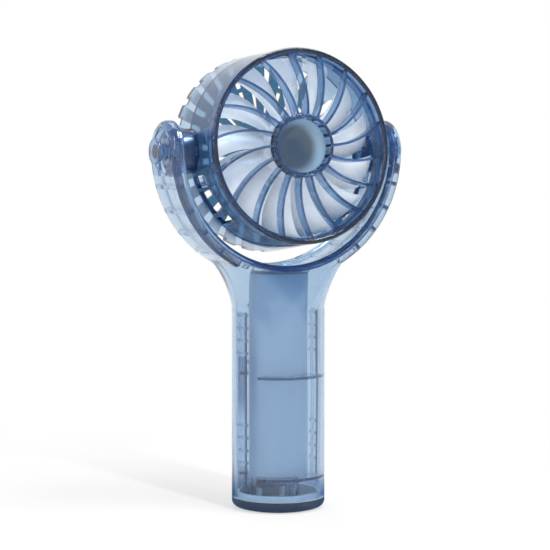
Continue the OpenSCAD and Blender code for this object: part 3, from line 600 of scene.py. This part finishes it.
def set_world(scene, studio):
    """White for what is seen straight, even light for matt surfaces, dark sides for clear and glossy ones.

    Clear and glossy pieces see white ahead of the camera and behind it, nearly white on the left, and
    the dark colour between these.
    """
    ahead_level = 0.94
    ahead_rise = 0.34
    left_rise = 0.25
    left_light = 0.9
    matt_light = 0.95
    world = bpy.data.worlds.new("studio")
    world.use_nodes = True
    scene.world = world
    finish = Finish(world.node_tree)
    way = finish.node("ShaderNodeTexCoord", out="Generated")
    sine = math.sin(studio.azimuth)
    cosine = math.cos(studio.azimuth)
    ahead = (-ahead_level * sine, ahead_level * cosine, ahead_rise)
    facing = finish.vector("DOT_PRODUCT", way, ahead, "Value")
    leftward = finish.vector("DOT_PRODUCT", way, (-cosine, -sine, left_rise), "Value")
    sides = finish.ramp(facing, start=0.05, stop=0.75)
    sides = sides.at_least(finish.ramp(leftward, start=0.6, stop=0.95, high=left_light))
    sides = sides.at_least(finish.ramp(facing, start=-0.3, stop=-0.75))
    camera = finish.light_path("Is Camera Ray")
    matt = finish.from_matt()
    lit = camera + (1.0 - camera) * ((1.0 - matt) * sides + matt * matt_light)
    back = finish.node("ShaderNodeBackground", None, {
        "Color": finish.between(lit, DARK_SIDE, WHITE), "Strength": 1.0})
    finish.node("ShaderNodeOutputWorld", None, {"Surface": back})


class FanSizes(bpy.types.PropertyGroup):
    """Sizes of the impeller, which is made here."""

    blade_count: bpy.props.IntProperty(
        name="Blades", description="Number of blades", default=13, min=3, max=24)
    tip_radius: bpy.props.FloatProperty(
        name="Tip radius", description="Radius of the blade tips", default=37.9 * MM, unit="LENGTH")
    root_radius: bpy.props.FloatProperty(
        name="Root radius", description="Radius at which the blades leave the hub", default=12.5 * MM,
        unit="LENGTH")
    hub_radius: bpy.props.FloatProperty(
        name="Hub radius", description="Outer radius of the impeller's hub", default=13.2 * MM,
        unit="LENGTH")
    blade_low: bpy.props.FloatProperty(
        name="Blade back", description="Back edge of the blades, from the tilt axis", default=7.1 * MM,
        unit="LENGTH")
    hub_low: bpy.props.FloatProperty(
        name="Hub back", description="Back edge of the hub, from the tilt axis", default=3.0 * MM,
        unit="LENGTH")
    blade_height: bpy.props.FloatProperty(
        name="Blade depth", description="Depth of the blades along the axis", default=7.5 * MM,
        unit="LENGTH")
    blade_thick: bpy.props.FloatProperty(
        name="Blade thickness", description="Thickness of a blade", default=1.0 * MM, unit="LENGTH")
    blade_cover: bpy.props.FloatProperty(
        name="Cover", description="Share of the circle that the blades cover", default=1.1, min=0.3, max=1.3)
    blade_taper: bpy.props.FloatProperty(
        name="Taper", description="Share of the cover that is lost at the tips", default=0.3, min=0.0,
        max=0.5)
    blade_camber: bpy.props.FloatProperty(
        name="Camber", description="Bow of a blade", default=1.6 * MM, unit="LENGTH")
    blade_sweep: bpy.props.FloatProperty(
        name="Sweep", description="Turn of the blade tip ahead of its root", default=math.radians(12),
        unit="ROTATION")


class FanColours(bpy.types.PropertyGroup):
    """Colours of the finishes, and the painted shade and light of the sleeve's top, the drum, the left
    tongue and the hub disc.
    """

    clear: bpy.props.FloatVectorProperty(
        name="Clear plastic", description="Tint of the clear plastic's surface", subtype="COLOR",
        default=(0.86, 0.915, 0.965))
    shell: bpy.props.FloatVectorProperty(
        name="Shells", description="Tint of the handle and fork shells", subtype="COLOR",
        default=(0.845, 0.905, 0.957))
    # Painted shade: dark bars on the left seam's tongue only, for the shade seen through that seam.
    tongue: bpy.props.FloatVectorProperty(
        name="Tongue", description="Tint of the seam's left tongue between its clips", subtype="COLOR",
        default=(0.1, 0.16, 0.32))
    drum: bpy.props.FloatVectorProperty(
        name="Drum", description="Tint of the drum's bosses", subtype="COLOR", default=(0.62, 0.74, 0.86))
    # Partly the drum's own dark blue, partly painted shade: the wall is painted darker towards its bottom
    # and lighter towards its top, as light falls from above.
    drum_low_painted_shade: bpy.props.FloatVectorProperty(
        name="Drum below", description="Tint of the drum's lower wall", subtype="COLOR",
        default=(0.08, 0.26, 0.45))
    ribs: bpy.props.FloatVectorProperty(
        name="Ribs", description="Tint of the grille's ribs", subtype="COLOR", default=(0.52, 0.66, 0.8))
    rim: bpy.props.FloatVectorProperty(
        name="Rim", description="Tint of the grille's rim", subtype="COLOR", default=(0.4, 0.53, 0.67))
    plate: bpy.props.FloatVectorProperty(
        name="Back plate", description="Tint of the guard's back plate", subtype="COLOR",
        default=(0.1, 0.24, 0.35))
    left_after_mm: bpy.props.FloatVectorProperty(
        name="Clear after 1 mm", description="Light left after one millimetre of clear plastic",
        subtype="COLOR", default=(0.863, 0.909, 0.95))
    pearl: bpy.props.FloatVectorProperty(
        name="Pearl", description="Colour of the impeller", subtype="COLOR", default=(0.79, 0.82, 0.86))
    core: bpy.props.FloatVectorProperty(
        name="Core", description="Colour of the battery sleeve", subtype="COLOR", default=(0.5, 0.61, 0.73))
    # Painted shade: the darker colour under the sleeve's top stands in for the head's shadow.
    painted_top_shade: bpy.props.FloatVectorProperty(
        name="Clouds", description="Colour of the clouds under the sleeve's top", subtype="COLOR",
        default=(0.29, 0.45, 0.64))
    base: bpy.props.FloatVectorProperty(
        name="Base", description="Colour of the base cap", subtype="COLOR", default=(0.026, 0.034, 0.055))
    smoke: bpy.props.FloatVectorProperty(
        name="Hub disc", description="Colour of the dished hub disc", subtype="COLOR",
        default=(0.033, 0.054, 0.083))
    # Painted light: the lighter colour of the lit crescent on the hub disc.
    smoke_painted_light: bpy.props.FloatVectorProperty(
        name="Hub disc light", description="Lighter colour of the hub disc", subtype="COLOR",
        default=(0.18, 0.28, 0.38))


class FanStudio(bpy.types.PropertyGroup):
    """Place and lens of the camera."""

    azimuth: bpy.props.FloatProperty(
        name="Azimuth", description="Side from which the camera looks", default=math.radians(-27.207),
        unit="ROTATION")
    distance: bpy.props.FloatProperty(
        name="Distance", description="Level distance of the camera from the handle's axis",
        default=864.88 * MM, unit="LENGTH")
    height: bpy.props.FloatProperty(
        name="Height", description="Height of the camera", default=165.72 * MM, unit="LENGTH")
    pitch: bpy.props.FloatProperty(
        name="Pitch", description="Angle that the camera looks down", default=math.radians(4.3373),
        unit="ROTATION")
    yaw: bpy.props.FloatProperty(
        name="Yaw", description="Angle that the camera is turned off the axis", default=math.radians(0.0895),
        unit="ROTATION")
    focal: bpy.props.FloatProperty(
        name="Focal length", description="Focal length in pixels of a 550 pixel frame", default=2024.02)


class FAN_OT_shells(bpy.types.Operator):
    """Clear blue handle and fork shells and pivot pins"""

    bl_idname = "fan.shells"
    bl_label = "Handle and fork shells"

    def execute(self, context):
        colours = context.scene.fan_colours
        left = colours.left_after_mm
        rough = (0.03, 0.06)
        rear = clear_plastic("clear_shell", colours.shell, left, depth=1.0, clarity=0.97, rough=rough)
        # The front shell's left tongue carries painted shade in dark bars.
        front = clear_plastic("clear_front", colours.shell, left, depth=1.0, clarity=0.97, rough=rough,
                              second=colours.tongue, mask=tongue_painted_shade)
        pin = clear_plastic("clear_pin", colours.clear, left, depth=1.3, clarity=0.94, rough=rough)
        dressed = {"front_shell": front, "rear_shell": rear, "pivot_pin_left": pin, "pivot_pin_right": pin}
        for node, material in dressed.items():
            skin(node, material, "handle")
        return {"FINISHED"}


class FAN_OT_head(bpy.types.Operator):
    """Clear grille, drum and rear guard of the head, and the smoky hub disc"""

    bl_idname = "fan.head"
    bl_label = "Head"

    def execute(self, context):
        colours = context.scene.fan_colours
        left = colours.left_after_mm
        # Painted shade: the drum's wall darkens towards its bottom.
        drum = clear_plastic("clear_drum", colours.drum, left, depth=1.8, clarity=0.96, rough=(0.05, 0.1),
                             second=colours.drum_low_painted_shade, mask=drum_low_painted_shade)
        grille = clear_plastic("clear_grille", colours.ribs, left, depth=2.6, clarity=0.97,
                               rough=(0.03, 0.06), second=colours.rim, mask=grille_rim)
        guard = clear_plastic("clear_guard", colours.clear, left, depth=1.9, clarity=0.95,
                              rough=(0.04, 0.09), second=colours.plate, mask=back_plate)
        for node, material in {"drum": drum, "front_grille": grille, "rear_guard": guard}.items():
            skin(node, material, "head")
        # The hub disc's crescent on the side towards the light is painted lighter.
        smoke = principled("hub_disc", (colours.smoke, colours.smoke_painted_light), rough=(0.16, 0.26), grain=90.0,
                           relief=Relief(scale=900.0, strength=0.08, depth=0.04 * MM), mask=disc_painted_light,
                           Coat_Weight=0.4, Coat_Roughness=0.3)
        dress(smoke, "hub_cap")
        return {"FINISHED"}


class FAN_OT_impeller(bpy.types.Operator):
    """Pearl impeller with curved blades"""

    bl_idname = "fan.impeller"
    bl_label = "Impeller"

    def execute(self, context):
        sizes = context.scene.fan_sizes
        pearl = context.scene.fan_colours.pearl
        finish = principled("pearl_plastic", (pearl, scaled(pearl, factor=1.06)), rough=(0.22, 0.34),
                            grain=160.0, relief=Relief(scale=2400.0, strength=0.05, depth=0.03 * MM),
                            Coat_Weight=0.5, Coat_Roughness=0.12, Sheen_Weight=0.15)
        blade_points, blade_faces = blades(sizes)
        hub_points, hub_faces = impeller_hub(sizes)
        points = np.concatenate([blade_points, hub_points])
        faces = np.concatenate([blade_faces, hub_faces + len(blade_points)])
        piece = add_piece("impeller_skin", to_head(points), faces, finish, "rotor",
                          smooth_angle=40.0)
        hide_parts("impeller")
        return {"FINISHED"}


class FAN_OT_core(bpy.types.Operator):
    """Battery sleeve, its plug and the cell"""

    bl_idname = "fan.core"
    bl_label = "Battery"

    def execute(self, context):
        colours = context.scene.fan_colours
        # The sleeve's top is painted darker, as the head's shadow on it.
        sleeve = principled("sleeve_satin", (colours.core, colours.painted_top_shade), rough=(0.45, 0.6), grain=26.0,
                            relief=Relief(scale=1500.0, strength=0.05, depth=0.05 * MM), mask=sleeve_top_painted_shade)
        cell = principled("cell_wrap", CELL_WRAP, rough=(0.28, 0.4), grain=80.0)
        dress(sleeve, "battery_sleeve", "sleeve_plug")
        dress(cell, "battery_cell")
        return {"FINISHED"}


class FAN_OT_base(bpy.types.Operator):
    """Base cap, foot pad and power button"""

    bl_idname = "fan.base"
    bl_label = "Base and button"

    def execute(self, context):
        colours = context.scene.fan_colours
        gloss = principled("dark_blue_gloss", (colours.base, scaled(colours.base, factor=1.2)),
                           rough=(0.2, 0.3), grain=140.0,
                           relief=Relief(scale=1800.0, strength=0.05, depth=0.04 * MM),
                           Coat_Weight=0.4, Coat_Roughness=0.1)
        two_tone = principled("base_two_tone", (colours.base, colours.clear), rough=(0.2, 0.3), grain=140.0,
                              mask=inside_cap, Coat_Weight=0.4, Coat_Roughness=0.1)
        rubber = principled("black_rubber", RUBBER, rough=(0.65, 0.85), grain=700.0,
                            relief=Relief(scale=2600.0, strength=0.3, depth=0.1 * MM))
        dress(gloss, "power_button")
        dress(two_tone, "base_cap")
        dress(rubber, "foot_pad")
        return {"FINISHED"}


class FAN_OT_metal(bpy.types.Operator):
    """Steel and brass pieces"""

    bl_idname = "fan.metal"
    bl_label = "Metal pieces"

    def execute(self, context):
        steel = principled("brushed_steel", STEEL, rough=(0.24, 0.4), grain=900.0,
                           relief=Relief(scale=3000.0, strength=0.06, depth=0.03 * MM), Metallic=1.0)
        brass = principled("turned_brass", BRASS, rough=(0.24, 0.36), grain=800.0,
                           relief=Relief(scale=3000.0, strength=0.05, depth=0.03 * MM), Metallic=1.0)
        dress(steel, "base_screws", "battery_contacts", "usb_socket", "motor_can", "motor_screws",
              "motor_shaft")
        dress(brass, "motor_bearing", "motor_terminals", "impeller_insert")
        return {"FINISHED"}


class FAN_OT_controls(bpy.types.Operator):
    """Boards, switch, light, leads, washers and bushes"""

    bl_idname = "fan.controls"
    bl_label = "Controls"

    def execute(self, context):
        board = principled("solder_mask", SOLDER_MASK, rough=(0.3, 0.45), grain=300.0,
                           relief=Relief(scale=900.0, strength=0.2, depth=0.08 * MM))
        black = principled("black_plastic", BLACK_PLASTIC, rough=(0.4, 0.55), grain=500.0,
                           relief=Relief(scale=2000.0, strength=0.1, depth=0.05 * MM))
        white = principled("white_plastic", WHITE_PLASTIC, rough=(0.35, 0.5), grain=300.0,
                           relief=Relief(scale=2000.0, strength=0.08, depth=0.05 * MM))
        lens = principled("lens_plastic", LENS, rough=(0.1, 0.2), grain=300.0, Transmission_Weight=0.8,
                          IOR=1.47)
        sheath = principled("lead_sheath", LEAD_SHEATH, rough=(0.4, 0.55), grain=400.0,
                            relief=Relief(scale=1800.0, strength=0.1, depth=0.05 * MM))
        nylon = principled("natural_nylon", NATURAL_NYLON, rough=(0.25, 0.35), grain=300.0,
                           Transmission_Weight=0.9, IOR=PLASTIC_IOR)
        dress(board, "control_board", "usb_board")
        dress(black, "button_switch", "motor_end_bell")
        dress(white, "status_led")
        dress(lens, "status_lens")
        dress(sheath, "motor_lead_lower", "motor_lead_upper")
        dress(nylon, "thrust_washer_left", "thrust_washer_right", "friction_bush_left",
              "friction_bush_right")
        return {"FINISHED"}


class FAN_OT_studio(bpy.types.Operator):
    """Camera, white floor, soft light and the world"""

    bl_idname = "fan.studio"
    bl_label = "Studio"

    def execute(self, context):
        scene = context.scene
        scene.view_settings.view_transform = "Standard"
        add_camera(scene, scene.fan_studio)
        add_lamps(scene, add_floor(scene))
        set_world(scene, scene.fan_studio)
        scene.cycles.max_bounces = CLEAR_BOUNCES
        scene.cycles.transmission_bounces = CLEAR_BOUNCES
        scene.cycles.glossy_bounces = GLOSSY_BOUNCES
        scene.cycles.transparent_max_bounces = ALPHA_BOUNCES
        return {"FINISHED"}


class FAN_PT_panel(bpy.types.Panel):
    """Lists the fan's pieces, sizes and colours"""

    bl_idname = "FAN_PT_panel"
    bl_label = "Handheld fan"
    bl_space_type = "VIEW_3D"
    bl_region_type = "UI"
    bl_category = "Fan"

    def draw(self, context):
        for kind in OPERATORS:
            self.layout.operator(kind.bl_idname)
        for name, group in GROUPS:
            box = self.layout.box()
            for key in group.__annotations__:
                box.prop(getattr(context.scene, name), key)


GROUPS = (("fan_sizes", FanSizes), ("fan_colours", FanColours), ("fan_studio", FanStudio))
OPERATORS = (FAN_OT_shells, FAN_OT_head, FAN_OT_impeller, FAN_OT_core, FAN_OT_base, FAN_OT_metal,
             FAN_OT_controls, FAN_OT_studio)


def register():
    for name, group in GROUPS:
        bpy.utils.register_class(group)
        setattr(bpy.types.Scene, name, bpy.props.PointerProperty(type=group))
    for kind in OPERATORS + (FAN_PT_panel,):
        bpy.utils.register_class(kind)


def unregister():
    for kind in (FAN_PT_panel,) + OPERATORS[::-1]:
        bpy.utils.unregister_class(kind)
    for name, group in GROUPS[::-1]:
        delattr(bpy.types.Scene, name)
        bpy.utils.unregister_class(group)


def main():
    register()
    for kind in OPERATORS:
        space, name = kind.bl_idname.split(".")
        getattr(getattr(bpy.ops, space), name)()


if __name__ == "__main__":
    main()
